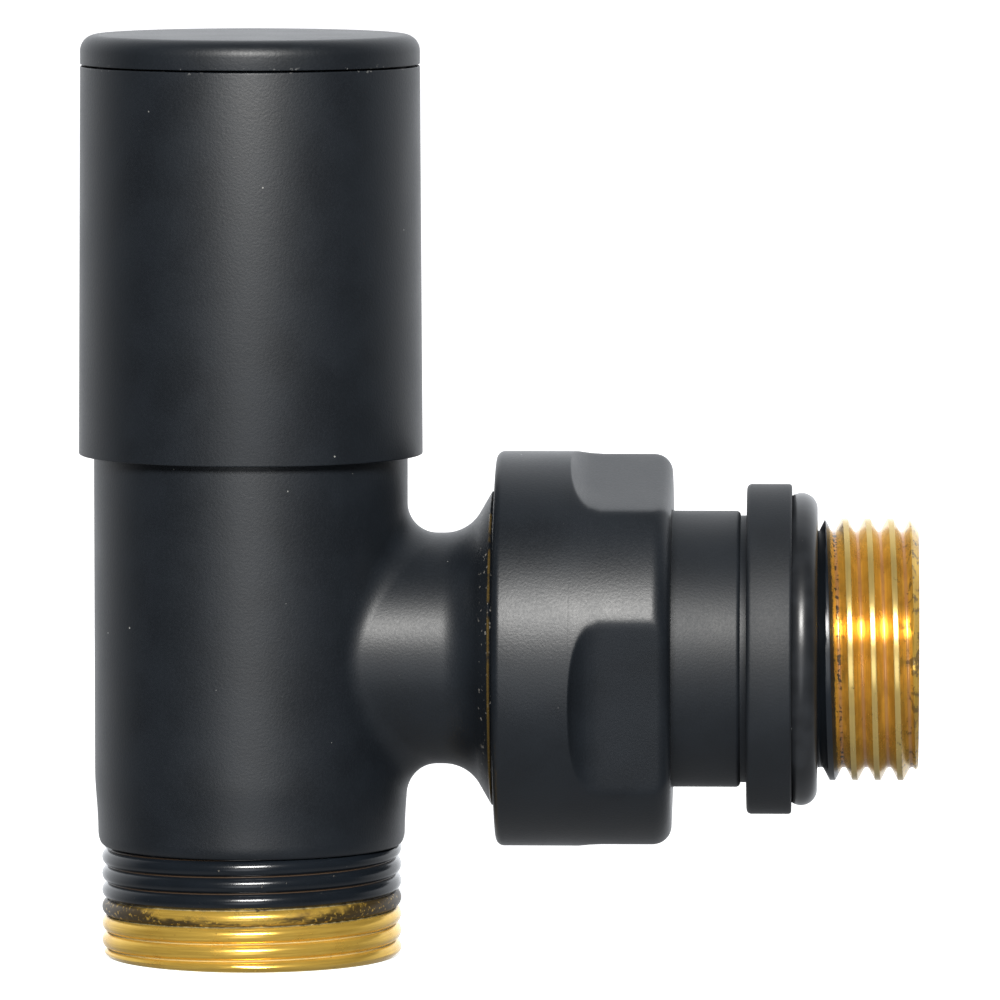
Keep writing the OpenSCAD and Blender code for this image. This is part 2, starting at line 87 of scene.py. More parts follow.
# Radius of the worn crests and how far from the crest they reach, as shares of the pitch
LOBE_ROUND = 0.52
LOBE_END = 0.488
LOBE_DEPTH = LOBE_ROUND - math.sqrt(LOBE_ROUND ** 2 - LOBE_END ** 2)
# Rows of the mesh over one ridge, in pitches from its crest
LOBE_ROWS = np.array([-0.5, -0.488, -0.45, -0.4, -0.32, -0.22, -0.11,
                      0, 0.11, 0.22, 0.32, 0.4, 0.45, 0.488])
THREAD_ROWS = np.array([-0.5, -0.46, -0.42, -0.378, -0.29, -0.2, -0.122, -0.085, -0.045,
                        0, 0.045, 0.085, 0.122, 0.2, 0.29, 0.378, 0.42, 0.46])

BARREL_R = 12.55
PIPE_CREST_R = 12.0
UNION_PITCH = 1.5
NOSE_BORE_R = 9.578
NOSE_END_X = 22.338

# Columns of the meshes. A window of the barrel's grid is cut out for the branch, and each
# cell of its edge is one column of the branch.
BARREL_COLUMNS = 192
WINDOW_CELLS = 64
WINDOW_CELL_Z = 0.41
WINDOW_HALF_TURN = WINDOW_CELLS / 2 * TURN / BARREL_COLUMNS
BRANCH_COLUMNS = 4 * WINDOW_CELLS
BARREL_TURN = np.linspace(0, TURN, BARREL_COLUMNS + 1)
BRANCH_TURN = np.linspace(0, TURN, BRANCH_COLUMNS + 1)
TAIL_TURN = np.linspace(0, TURN, 241)


# Shapes --------------------------------------------------------------------

def around_z(radius, along, angle):
    """Points about the barrel's axis: (r cos a, r sin a, z)."""
    radius, along, angle = np.broadcast_arrays(radius, along, angle)
    return np.stack([radius * np.cos(angle), radius * np.sin(angle), along], -1)


def around_x(radius, along, angle):
    """Points about the branch's axis: (x, r cos a, z0 + r sin a)."""
    radius, along, angle = np.broadcast_arrays(radius, along, angle)
    return np.stack([along, radius * np.cos(angle), BRANCH_Z + radius * np.sin(angle)], -1)


def turned(outline, place, angle):
    """Surface of revolution: each [radius, along] of the outline goes round the axis."""
    outline = np.array(outline, float)
    return place(outline[:, :1], outline[:, 1:], angle[None, :])


def arc(radius, along, size, start, end, steps=8):
    """[radius, along] points of a circle of that size about (radius, along), from angle start to end."""
    a = np.radians(np.linspace(start, end, steps + 1))
    return np.stack([radius + size * np.cos(a), along + size * np.sin(a)], -1)


def eased(outline, ease, closed=False):
    """The outline with each corner sharper than 25 degrees replaced by a small parabola
    that leaves and joins its two sides at most ease from the corner."""
    p = np.array(outline, float)
    before, after = np.roll(p, 1, 0), np.roll(p, -1, 0)
    if not closed:
        before[0], after[-1] = p[0], p[-1]
    back, ahead = before - p, after - p
    back_l = np.maximum(np.linalg.norm(back, axis=1, keepdims=True), 1e-9)
    ahead_l = np.maximum(np.linalg.norm(ahead, axis=1, keepdims=True), 1e-9)
    bend = np.sum(back * ahead, 1, keepdims=True) / back_l / ahead_l > -math.cos(math.radians(25))
    if not closed:
        bend[0] = bend[-1] = False
    a = p + back / back_l * np.minimum(ease, 0.4 * back_l) * bend
    b = p + ahead / ahead_l * np.minimum(ease, 0.4 * ahead_l) * bend
    t = np.array([0, 0.25, 0.5, 0.75, 1])[None, :, None]
    curve = (1 - t) ** 2 * a[:, None] + 2 * t * (1 - t) * p[:, None] + t ** 2 * b[:, None]
    keep = np.repeat(bend, 5, 1)
    keep[:, 0] = True
    result = curve.reshape(-1, 2)[keep.reshape(-1)]
    return np.vstack([result, result[:1]]) if closed else result


def smooth(value):
    """0 below 0, 1 above 1, and 3 v^2 - 2 v^3 between."""
    value = np.clip(value, 0, 1)
    return value * value * (3 - 2 * value)


def sharp_form(turns):
    """Drop from the crest, in pitches, of a rounded 55 degree thread at a place given in
    pitches from a crest: an arc over the crest, a straight flank and an arc in the root."""
    x = np.abs((turns + 0.5) % 1 - 0.5)
    size, end = THREAD_ROUND, THREAD_ROUND_END
    top = np.sqrt(size ** 2 - np.minimum(x, end) ** 2) - size
    bottom = size - np.sqrt(size ** 2 - np.minimum(0.5 - x, end) ** 2) - THREAD_DEPTH
    share = np.clip((x - end) / (0.5 - 2 * end), 0, 1)
    drop = math.sqrt(size ** 2 - end ** 2) - size
    flank = drop * (1 - share) + (-THREAD_DEPTH - drop) * share
    return np.where(x < end, top, np.where(x > 0.5 - end, bottom, flank))


def lobe_form(turns):
    """Drop from the crest, in pitches, of a worn and coated thread: wide arcs that meet in
    narrow roots."""
    x = np.abs((turns + 0.5) % 1 - 0.5)
    return np.sqrt(LOBE_ROUND ** 2 - np.minimum(x, LOBE_END) ** 2) - LOBE_ROUND


def screw(place, crest, pitch, first, start, end, limit, angle, outside=True,
          form=sharp_form, rows=THREAD_ROWS):
    """Helical thread from start to end along the axis. Each row climbs one pitch in a turn
    and is held between start and end, so the thread closes in a plain circle at both.
    limit(along) is the cone it is cut by, and first is where a crest stands at angle 0."""
    climb = pitch * angle / TURN
    ridges = np.arange(math.floor((start - first) / pitch) - 3, math.ceil((end - first) / pitch) + 2)
    level = (first + pitch * (ridges[:, None] + rows)).reshape(-1)
    level = level[(level + climb[-1] > start - pitch / 8) & (level + climb[0] < end + pitch / 8)]
    level = np.concatenate([[start - 2 * pitch], level, [end + pitch]])
    along = np.clip(level[:, None] + climb[None, :], start, end)
    radius = crest + pitch * form((along - climb - first) / pitch)
    cut = limit(along)
    return place(np.minimum(radius, cut) if outside else np.maximum(radius, cut), along, angle[None, :])


def window_loop(low, high):
    """Angle and height of the rectangle cut in the barrel, once round it from its middle right."""
    k = np.arange(BRANCH_COLUMNS + 1)
    corner = np.array([0, 0.5, 1.5, 2.5, 3.5, 4]) * WINDOW_CELLS
    half = WINDOW_HALF_TURN
    angle = np.interp(k, corner, [half, half, -half, -half, half, half])
    middle = (low + high) / 2
    return angle, np.interp(k, corner, [middle, high, high, low, low, middle])


def junction(pipe_r, neck_r, fillet, low, high, rows):
    """Where a round neck leaves a round barrel. A ball of the fillet's radius rolls round the
    corner: its centre is neck_r + fillet from the neck's axis and pipe_r + fillet from the
    barrel's, so its marks on both are the centre's path scaled back to each surface. The
    barrel's own surface between the rectangle and the first mark is blended in the barrel's
    unrolled plane. Returns that patch, the ball's surface and its end on the neck."""
    reach, ring = pipe_r + fillet, neck_r + fillet
    y, z = ring * np.cos(BRANCH_TURN), ring * np.sin(BRANCH_TURN)
    x = np.sqrt(reach ** 2 - y ** 2)
    rect_angle, rect_z = window_loop(low, high)
    mark_angle, mark_z = np.arcsin(y / reach), BRANCH_Z + z
    t = np.linspace(0, 1, rows + 1)[:, None]
    patch = around_z(pipe_r, rect_z * (1 - t) + mark_z * t, rect_angle * (1 - t) + mark_angle * t)
    if not fillet:
        return patch, None
    to_pipe = -np.stack([x, y, 0 * x], -1) / reach
    to_neck = -np.stack([0 * x, y / ring, z / ring], -1)
    spread = np.arccos(np.clip(np.sum(to_pipe * to_neck, -1), -1, 1))[:, None]
    t = np.linspace(0, 1, 19)[:, None, None]
    direction = (np.sin((1 - t) * spread) * to_pipe + np.sin(t * spread) * to_neck) / np.sin(spread)
    centre = np.stack([x, y, BRANCH_Z + z], -1)
    return patch, centre + fillet * direction


def flat_outline(profile, height, rim):
    """Columns of one quarter of the nut and their radius for each row. The angle from the
    middle of the flat runs to the flat's edge, acos(height / profile), and on to 45 degrees,
    and the radius is the softened lesser of the round profile and the flat's plane:
    -rim ln(e^(-profile / rim) + e^(-plane / rim))."""
    edge = np.arccos(np.clip(height / profile, -1, 1))[:, None]
    inner = np.array([0, 0.3, 0.55, 0.74, 0.86, 0.935, 0.975, 1])
    outer = np.array([0.012, 0.03, 0.06, 0.1, 0.16, 0.23, 0.31, 0.4, 0.5, 0.6, 0.7, 0.79, 0.87, 0.94, 1])
    half = np.concatenate([edge * inner, edge + (TURN / 8 - edge) * outer], 1)
    offset = np.concatenate([-half[:, ::-1], half[:, 1:]], 1)
    plane = height[:, None] / np.cos(offset)
    both = np.logaddexp(-profile[:, None] / rim, -plane / rim)
    return offset, -rim * both


# Meshes ---------------------------------------------------------------------

def piece(name, grids, body, nodes, material, crease=28):
    """One closed mesh from grids of points, each (rows x columns x 3, bare metal 0 or 1).
    Every cell of a grid is a face, and grids are welded where their edges meet."""
    starts = np.cumsum([0] + [g.shape[0] * g.shape[1] for g, _ in grids])
    faces = []
    for (points, _), start in zip(grids, starts):
        index = start + np.arange(points.shape[0] * points.shape[1]).reshape(points.shape[:2])
        cells = np.stack([index[:-1, :-1], index[:-1, 1:], index[1:, 1:], index[1:, :-1]], -1)
        faces.append(cells.reshape(-1, 4))
    points = np.concatenate([g.reshape(-1, 3) for g, _ in grids]) * MM
    faces = np.concatenate(faces)
    bare = np.concatenate([np.full(g.shape[0] * g.shape[1], b, np.float32) for g, b in grids])
    mesh = bpy.data.meshes.new(name)
    mesh.vertices.add(len(points))
    mesh.vertices.foreach_set("co", points.astype(np.float32).reshape(-1))
    mesh.loops.add(faces.size)
    mesh.loops.foreach_set("vertex_index", faces.astype(np.int32).reshape(-1))
    mesh.polygons.add(len(faces))
    mesh.polygons.foreach_set("loop_start", np.arange(0, faces.size, 4, dtype=np.int32))
    mesh.attributes.new("bare", "FLOAT", "POINT").data.foreach_set("value", bare)
    mesh.update()
    shape = bmesh.new()
    shape.from_mesh(mesh)
    bmesh.ops.remove_doubles(shape, verts=shape.verts, dist=2e-6)
    loose = [v for v in shape.verts if not v.link_faces]
    bmesh.ops.delete(shape, geom=loose, context="VERTS")
    bmesh.ops.recalc_face_normals(shape, faces=shape.faces)
    gaps = sum(1 for e in shape.edges if not e.is_manifold)
    volume = shape.calc_volume(signed=True)
    shape.to_mesh(mesh)
    shape.free()
    if gaps or volume <= 0:
        raise RuntimeError(f"{name} isn't closed: {gaps} open edges, volume {volume}")
    mesh.validate()
    mesh.shade_smooth()
    mesh.set_sharp_from_angle(angle=math.radians(crease))
    mesh.materials.append(material)
    made = bpy.data.objects.new(name, mesh)
    bpy.context.scene.collection.objects.link(made)
    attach(made, body)
    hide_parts(*nodes)
    return made


# Materials ------------------------------------------------------------------

# Places of a Mix node's colour sockets, which share their names with its other sockets
MIX_FIRST, MIX_SECOND, MIX_RESULT = 6, 7, 2

DUST = (0.42, 0.42, 0.40)
CHIPPED = (0.33, 0.33, 0.32)
CHIPPED_BRASS = (0.35, 0.33, 0.3)
CHIPPED_THREAD = (0.3, 0.27, 0.22)
TARNISH = (0.62, 0.34, 0.04)
PIT = (0.12, 0.06, 0.015)
AGED_BRASS = (0.2, 0.09, 0.014)
# Painted highlight: a pale line along the roots of the bare pipe thread
PAINTED_ROOT_HIGHLIGHT = (0.66, 0.6, 0.34)
# Painted reflection: a brown line along the roots of the coated pipe thread
PAINTED_ROOT_REFLECTION = (0.13, 0.08, 0.045)
RED_ROOT = (0.48, 0.2, 0.11)
WORN_CREST = (0.66, 0.52, 0.22)
# Colour of the thin smeared paint, also laid on as painted shade at the crest's sides and low down
SMEARED_PAINT_AND_SHADE = (0.018, 0.012, 0.006)
PAINT_DROP = (0.02, 0.016, 0.012)
PAINT_SPECKLE = (0.03, 0.022, 0.016)
DIRT = (0.07, 0.045, 0.025)
RUBBER_DUST = (0.4, 0.4, 0.4)
FIBRE_DARK, FIBRE_PALE = (0.2, 0.045, 0.025), (0.38, 0.12, 0.08)
NYLON_DARK, NYLON_PALE = (0.035, 0.035, 0.04), (0.06, 0.06, 0.066)
ZINC_BLUE, ZINC_YELLOW = (0.5, 0.52, 0.56), (0.64, 0.63, 0.6)
COAT_IOR = {"IOR": 1.5}


def times(color, factor):
    """A colour made that many times as bright, at most white."""
    return tuple(min(1, c * factor) for c in color)


class Value:
    """A socket of a material. Arithmetic on it adds the Math nodes that work it out."""

    def __init__(self, finish, socket):
        self.finish, self.socket = finish, socket

    def math(self, operation, *others):
        sockets = dict(enumerate((self, *others)))
        return self.finish.node("ShaderNodeMath", {"operation": operation}, sockets)

    def __add__(self, other):
        return self.math("ADD", other)

    def __sub__(self, other):
        return self.math("SUBTRACT", other)

    def __rsub__(self, other):
        return self.finish.number(other).math("SUBTRACT", self)

    def __mul__(self, other):
        return self.math("MULTIPLY", other)

    def __truediv__(self, other):
        return self.math("DIVIDE", other)

    def __pow__(self, other):
        return self.math("POWER", other)

    __radd__ = __add__
    __rmul__ = __mul__

    def step(self, low, high):
        """0 below low, 1 above high, smooth between; with low above high it falls instead."""
        falls = low > high
        return self.finish.node("ShaderNodeMapRange", {"interpolation_type": "SMOOTHSTEP"}, {
            "Value": self, "From Min": min(low, high), "From Max": max(low, high),
            "To Min": float(falls), "To Max": float(not falls)})


class Nodes:
    """A node tree to add to."""

    def __init__(self, tree):
        self.tree = tree

    def node(self, kind, settings=None, sockets=None, out=0):
        """Any node by its type: its settings are set first, then its sockets get values or links."""
        made = self.tree.nodes.new(kind)
        for key, setting in (settings or {}).items():
            setattr(made, key, setting)
        for key, given in (sockets or {}).items():
            socket = made.inputs[key]
            if isinstance(given, Value):
                self.tree.links.new(given.socket, socket)
            else:
                socket.default_value = given
        return Value(self, made.outputs[out]) if made.outputs else None

    def number(self, value):
        made = self.node("ShaderNodeValue")
        made.socket.default_value = value
        return made

    def split(self, vector):
        """The three numbers of a vector."""
        made = self.node("ShaderNodeSeparateXYZ", sockets={0: vector})
        return tuple(Value(self, out) for out in made.socket.node.outputs)

    def join(self, x, y, z):
        """The vector of three numbers."""
        return self.node("ShaderNodeCombineXYZ", sockets={0: x, 1: y, 2: z})

    def blend(self, share, first, second):
        """Number between first and second."""
        return first + share * (second - first)


class Finish(Nodes):
    """One material, worked out from the place on the object in millimetres."""

    def __init__(self, name):
        self.material = bpy.data.materials.new(name)
        self.material.use_nodes = True
        super().__init__(self.material.node_tree)
        self.tree.nodes.clear()
        self.place = self.node("ShaderNodeVectorMath", {"operation": "SCALE"}, {
            0: self.node("ShaderNodeTexCoord", out="Object"), "Scale": 1 / MM})

    def noise(self, scale, detail=2.0, rough=0.5, vector=None):
        """Noise from 0 to 1 with that many features to a millimetre."""
        return self.node("ShaderNodeTexNoise", {"noise_dimensions": "3D"}, {
            "Vector": vector or self.place, "Scale": scale, "Detail": detail, "Roughness": rough})

    def specks(self, scale, size):
        """1 inside small round dots of up to that radius in millimetres, at most one per cell
        of the Voronoi pattern and most far smaller: each cell's own random share, cubed,
        sets its dot's radius."""
        cell = self.node("ShaderNodeTexVoronoi", {"feature": "F1"}, {"Vector": self.place, "Scale": scale})
        outs = cell.socket.node.outputs
        pick = self.node("ShaderNodeSeparateColor", sockets={0: Value(self, outs["Color"])})
        reach = Value(self, pick.socket.node.outputs[0]) ** 3 * (size * scale)
        return (Value(self, outs["Distance"]) - reach).step(0.01, -0.02)

    def mix(self, share, first, second):
        """Colour between first and second."""
        colors = [given if isinstance(given, Value) else (*given, 1) for given in (first, second)]
        return self.node("ShaderNodeMix", {"data_type": "RGBA"}, {
            "Factor": share, MIX_FIRST: colors[0], MIX_SECOND: colors[1]}, out=MIX_RESULT)

    def bump(self, height, depth):
        """Normal of a relief of height 0 to 1 that is depth millimetres deep."""
        return self.node("ShaderNodeBump", sockets={
            "Strength": 1.0, "Distance": depth * MM, "Height": height})

    def bare_metal(self):
        """1 where a mesh says that its metal was never coated."""
        return self.node("ShaderNodeAttribute", {"attribute_name": "bare"}, out="Fac").step(0.4, 0.6)

    def done(self, color, roughness, metallic=0.0, normal=None, fixed=None):
        """The shader with its varying sockets and its fixed ones."""
        sockets = {"Base Color": color if isinstance(color, Value) else (*color, 1),
                   "Roughness": roughness, "Metallic": metallic}
        if normal:
            sockets["Normal"] = normal
        sockets.update(fixed or {})
        shader = self.node("ShaderNodeBsdfPrincipled", sockets=sockets)
        self.node("ShaderNodeOutputMaterial", sockets={"Surface": shader})
        return self.material


def coat_layers(finish, looks, roughness=None):
    """Colour, roughness and relief of the matt coat: fine grain, faint cloudiness and dust."""
    grain = finish.noise(5.0, 2.0, 0.6)
    cloud = finish.noise(0.22, 2.0)
    dust = finish.specks(0.55, 0.1)
    tone = tuple(looks.coat_color)
    color = finish.mix(cloud.step(0.3, 0.7), times(tone, 0.86), times(tone, 1.14))
    color = finish.mix(grain.step(0.4, 0.8) * 0.35, color, times(tone, 1.5))
    color = finish.mix(dust * 0.75, color, DUST)
    roughness = (roughness or looks.coat_roughness) + (cloud - 0.5) * 0.08 + (grain - 0.5) * 0.12
    return color, roughness, grain


def brass_layers(finish, looks, lines):
    """Colour, roughness and relief of turned brass: cutting marks drawn out along the vector
    lines, warm tarnish and a few dark pits."""
    marks = finish.noise(6.0, 2.0, 0.6, lines)
    tarnish = finish.noise(0.35, 3.0, 0.6)
    spots = finish.noise(2.4, 2.0, 0.6)
    tone = tuple(looks.brass_color)
    color = finish.mix(marks.step(0.25, 0.75), times(tone, 0.82), times(tone, 1.12))
    color = finish.mix(tarnish.step(0.45, 0.75) * 0.4, color, TARNISH)
    color = finish.mix(spots.step(0.7, 0.78) * 0.6, color, PIT)
    roughness = 0.17 + marks * 0.08 + tarnish.step(0.4, 0.8) * 0.1
    return color, roughness, marks


def plain_coat(name, looks, roughness=None, edge=None):
    """Matt coat all over; edge(finish) may give a mask and a colour for worn edges."""
    finish = Finish(name)
    color, roughness, grain = coat_layers(finish, looks, roughness)
    if edge:
        worn, tint = edge(finish)
        color = finish.mix(worn, color, tint)
    return finish.done(color, roughness, 0.0, finish.bump(grain, looks.grain_depth / MM), COAT_IOR)


def met(turn):
    """A turn from -0.5 to 0.5 that runs back to 0 over both ends, so that it meets itself."""
    return turn - turn.step(0.3, 0.5) * 0.5 + turn.step(-0.3, -0.5) * 0.5


def radial(y, z):
    """Distance from an axis with those two coordinates."""
    return (y * y + z * z) ** 0.5


def body_finish(looks, sizes):
    """Coat on the body, bare brass on the lower pipe thread and inside. The coat's edge follows
    the thread's root, with paint smeared on the crest below it, heavier at the sides and low down as
    painted shade, painted reflections in the roots, and the flange's sharp edge is rubbed to a line of
    brass."""
    finish = Finish("body_coat")
    x, y, z = finish.split(finish.place)
    color, roughness, grain = coat_layers(finish, looks)
    radius = radial(x, y)
    branch = radial(y, z - BRANCH_Z)
    pitch = sizes.pipe_thread_pitch / MM
    thread_l = sizes.pipe_thread_l / MM
    root_r = PIPE_CREST_R - LOBE_DEPTH * pitch
    # Height along the thread's own helix, which is three quarters round at the near side
    climbed = z - (met(x.math("ARCTAN2", y * -1) / TURN) + 0.75) * pitch
    metal, metal_rough, marks = brass_layers(
        finish, looks, finish.join(x * 0.03, y * 0.03, climbed + radius * 0.4))
    fine = finish.noise(1.6, 4.0, 0.65)
    streaks = finish.noise(1.0, 3.0, 0.6, finish.join(x * 0.5, y * 0.5, climbed * 1.6 + radius * 2))
    # Full coat above one root of the thread
    above = climbed - (sizes.coat_edge / MM - 0.75 * pitch) + (fine - 0.5) * 0.35
    full = above.step(-0.12, 0.12)
    # Thin paint on the crest below, with flecks rubbed off it; its extra weight at the left and right
    # sides and low on the crest is painted shade
    side = (x * x) / PIPE_CREST_R ** 2
    thin_paint_and_shade = (streaks * 0.6 + side * 0.45 - above * 0.2).step(0.36, 0.62) * above.step(-1.55, -1.25)
    thin_paint_and_shade = thin_paint_and_shade * (1 - finish.noise(2.6, 3.0, 0.6).step(0.57, 0.67) * 0.65)
    drops = (fine + above * 0.16).step(0.61, 0.69) * above.step(-2.6, -1.2) * 0.85
    thread_zone = z.step(thread_l + 0.07, thread_l - 0.05) * radius.step(10.9, 11.1)
    # Painted highlight and reflection in the thread's roots: a pale line on the bare brass and a brown
    # line in the coat
    root = radius.step(root_r + 0.1, root_r + 0.03) * thread_zone
    metal = finish.mix(root * 0.85, metal, PAINTED_ROOT_HIGHLIGHT)
    metal = finish.mix(thin_paint_and_shade * 0.96, metal, SMEARED_PAINT_AND_SHADE)
    metal = finish.mix(drops, metal, PAINT_DROP)
    coat = finish.mix(root * full * 0.6, color, PAINTED_ROOT_REFLECTION)
    coat = finish.mix(finish.noise(3.0, 2.0).step(0.75, 0.79) * thread_zone * 0.5, coat, CHIPPED_THREAD)
    # Worn line on the flange's tip, more of it low down, and chips beside it
    tip = (x - sizes.flange_x / MM).math("ABSOLUTE").step(0.16, 0.06) * branch.step(12.38, 12.5)
    worn = tip * (finish.noise(0.5, 3.0) + (z - BRANCH_Z) * -0.012).step(0.36, 0.5)
    chips = finish.noise(2.2, 3.0).step(0.64, 0.68) * x.step(17.6, 18.9) * branch.step(10.8, 11.6)
    coat = finish.mix(chips * 0.7, coat, CHIPPED_BRASS)
    bare = finish.bare_metal().math("MAXIMUM", (1 - full) * thread_zone)
    bare = bare.math("MAXIMUM", worn * 0.85)
    color = finish.mix(bare, coat, metal)
    # The coat is glossier where it lies thin on the thread
    coat_rough = finish.blend(thread_zone, roughness, finish.number(0.2))
    rough = finish.blend(bare, coat_rough, metal_rough + thin_paint_and_shade * 0.2 + root * 0.3)
    relief = finish.blend(bare, grain * (1 - thread_zone * 0.75), marks * 0.3)
    metallic = bare * looks.brass_metal * (1 - thin_paint_and_shade * 0.8) * (1 - drops) * (1 - root * 0.5)
    return finish.done(color, rough, metallic, finish.bump(relief, looks.grain_depth / MM), COAT_IOR)


def tail_finish(looks, sizes):
    """Coat on the tail's neck and first thread crest, bare worn brass beyond, paint left in
    the first roots, pale rubbed crests and reddish roots."""
    finish = Finish("tail_coat_and_brass")
    x, y, z = finish.split(finish.place)
    color, roughness, grain = coat_layers(finish, looks, 0.52)
    radius = radial(y, z - BRANCH_Z)
    pitch = sizes.tail_thread_pitch / MM
    crest_r = sizes.tail_thread_r / MM
    root_r = crest_r + sizes.tail_wear / MM - THREAD_DEPTH * pitch
    # Place along the thread's own helix, which is half way round at the near side
    turn = ((z - BRANCH_Z) * -1).math("ARCTAN2", y * -1) / TURN
    climbed = x - (met(turn) + 0.5) * pitch
    metal, metal_rough, marks = brass_layers(
        finish, looks, finish.join(climbed + radius * 1.5, y * 0.03, z * 0.03))
    # Browner with age than the pipe thread
    metal = finish.mix(finish.noise(0.5, 3.0).step(0.35, 0.7) * 0.3 + 0.16, metal, AGED_BRASS)
    fine = finish.noise(2.2, 4.0, 0.7)
    crest = radius.step(crest_r - 0.035, crest_r - 0.01)
    crest_edge = radius.step(crest_r - 0.1, crest_r - 0.03) * (1 - crest)
    outer = radius.step(root_r - 0.2, root_r - 0.05)
    root = radius.step(root_r + 0.09, root_r + 0.02) * outer
    metal = finish.mix(crest * 0.6, metal, WORN_CREST)
    metal = finish.mix(root * 0.6, metal, RED_ROOT)
    # Paint fills the start of the thread as far as its first crest and speckles what follows
    edge = climbed - sizes.tail_coat_x / MM
    full = (edge + (fine - 0.5) * 0.5).step(0.06, -0.06)
    speckle = (fine - edge * 0.09 + root * 0.12 + crest * 0.03).step(0.57, 0.63) * edge.step(3.2, 0.0)
    metal = finish.mix(speckle, metal, PAINT_SPECKLE)
    # Dirt beside the worn crests and at the end
    dirt = finish.noise(1.3, 4.0, 0.7) + crest_edge * 0.15 + x.step(51.3, 53.0) * outer * 0.13
    dirt = dirt.step(0.66, 0.71) * 0.8
    metal = finish.mix(dirt, metal, DIRT)
    thread_zone = x.step(45.15, 45.35)
    bare = finish.bare_metal().math("MAXIMUM", (1 - full) * thread_zone)
    color = finish.mix(bare, color, metal)
    rough = finish.blend(bare, finish.blend(thread_zone, roughness, finish.number(0.3)), metal_rough)
    relief = finish.blend(bare, grain * (1 - thread_zone * 0.7), marks * 0.3)
    metallic = bare * looks.brass_metal * (1 - speckle * 0.9) * (1 - dirt * 0.6)
    return finish.done(color, rough, metallic, finish.bump(relief, looks.grain_depth / MM), COAT_IOR)


def rubber_finish(name, looks):
    """Satin black rubber with a moulded skin, faint bloom and dust."""
    finish = Finish(name)
    skin = finish.noise(1.4, 3.0)
    bloom = finish.noise(0.4, 2.0)
    dust = finish.specks(0.9, 0.11)
    tone = tuple(looks.rubber_color)
    color = finish.mix(bloom.step(0.35, 0.75), tone, times(tone, 1.8))
    color = finish.mix(dust * 0.7, color, RUBBER_DUST)
    return finish.done(color, 0.28 + bloom * 0.1, 0.0, finish.bump(skin, 0.008), {"IOR": 1.52})


def turned_brass(looks):
    """Clean turned brass for the inner pieces: cutting lines round the barrel's axis."""
    finish = Finish("inner_brass")
    x, y, z = finish.split(finish.place)
    lines = finish.join(radial(x, y), 0.0, z)
    color, rough, marks = brass_layers(finish, looks, lines)
    return finish.done(color, rough, 1.0, finish.bump(marks, 0.004))


def fibre_finish():
    """Pressed red-brown fibre with matted strands."""
    finish = Finish("pressed_fibre")
    strands = finish.node("ShaderNodeTexNoise", {"noise_dimensions": "3D"}, {
        "Vector": finish.place, "Scale": 4.0, "Detail": 5.0, "Roughness": 0.7, "Distortion": 1.5})
    color = finish.mix(strands.step(0.3, 0.7), FIBRE_DARK, FIBRE_PALE)
    return finish.done(color, 0.75 + strands * 0.15, 0.0, finish.bump(strands, 0.02))


def nylon_finish():
    """Dark grey moulded nylon with a fine spark texture."""
    finish = Finish("moulded_nylon")
    spark = finish.noise(3.0, 3.0, 0.6)
    flow = finish.noise(0.15, 2.0)
    color = finish.mix(flow, NYLON_DARK, NYLON_PALE)
    return finish.done(color, 0.42 + spark * 0.16, 0.0, finish.bump(spark, 0.012))


def zinc_finish():
    """Zinc plated steel with faint brushing and passivation clouds."""
    finish = Finish("zinc_plate")
    x, y, z = finish.split(finish.place)
    lines = finish.join(radial(x, y), 0.0, z)
    brush = finish.noise(7.0, 2.0, 0.6, lines)
    cloud = finish.noise(0.5, 2.0)
    color = finish.mix(cloud, ZINC_BLUE, ZINC_YELLOW)
    return finish.done(color, 0.28 + brush * 0.14, 1.0, finish.bump(brush, 0.004))


# Settings -------------------------------------------------------------------

def length(name, text, millimetres):
    """A length a user can change, kept in metres."""
    return FloatProperty(name=name, description=text, default=millimetres * MM, min=0,
                         unit="LENGTH", precision=5, step=0.01)


def colour(name, text, value):
    """A colour a user can change."""
    return FloatVectorProperty(name=name, description=text, default=value, size=3,
                               min=0, max=1, subtype="COLOR")


def fraction(name, text, value):
    """A number from 0 to 1 a user can change."""
    return FloatProperty(name=name, description=text, default=value, min=0, max=1, subtype="FACTOR")


def brightness(name, text, value):
    """A strength of light a user can change."""
    return FloatProperty(name=name, description=text, default=value, min=0)


class ValveBodySizes(PropertyGroup):
    """Sizes of the body."""
    pipe_thread_pitch: length("Pipe thread pitch", "Distance between crests, 19 turns to the inch", 1.337)
    pipe_thread_l: length("Pipe thread length", "From the pipe end to the barrel's shoulder", 9.0)
    pipe_crest_z: length("Pipe thread crest", "Height of the lowest crest on the branch's side", 0.6)
    coat_edge: length("Coat edge", "Height at the near side where the full coat ends", 4.94)
    shoulder_h: length("Shoulder height", "Height of the rounding above the pipe thread", 1.1)
    shoulder_w: length("Shoulder width", "How far in that rounding goes", 0.45)
    foot_slim: length("Foot slimming", "How much less the barrel's radius is above its thread", 0.25)
    branch_r: length("Branch radius", "Outside radius of the branch at its narrowest", 9.25)
    branch_x: length("Branch waist", "Where the branch is narrowest, from the barrel's axis", 15.5)
    fillet: length("Branch fillet", "Radius of the ball rolled round the branch's root", 2.4)
    flare_r: length("Flare radius", "Radius of the hollow curve up to the flange", 3.3)
    flange_x: length("Flange edge", "Where the flange's sharp edge stands", 19.338)


class ValveHandleSizes(PropertyGroup):
    """Sizes of the handle."""
    cap_edge: length("Cap edge", "Rounding of the top disc", 1.3)
    rim_ease: length("Edge easing", "Rounding of the sleeve's sharp edges", 0.12)


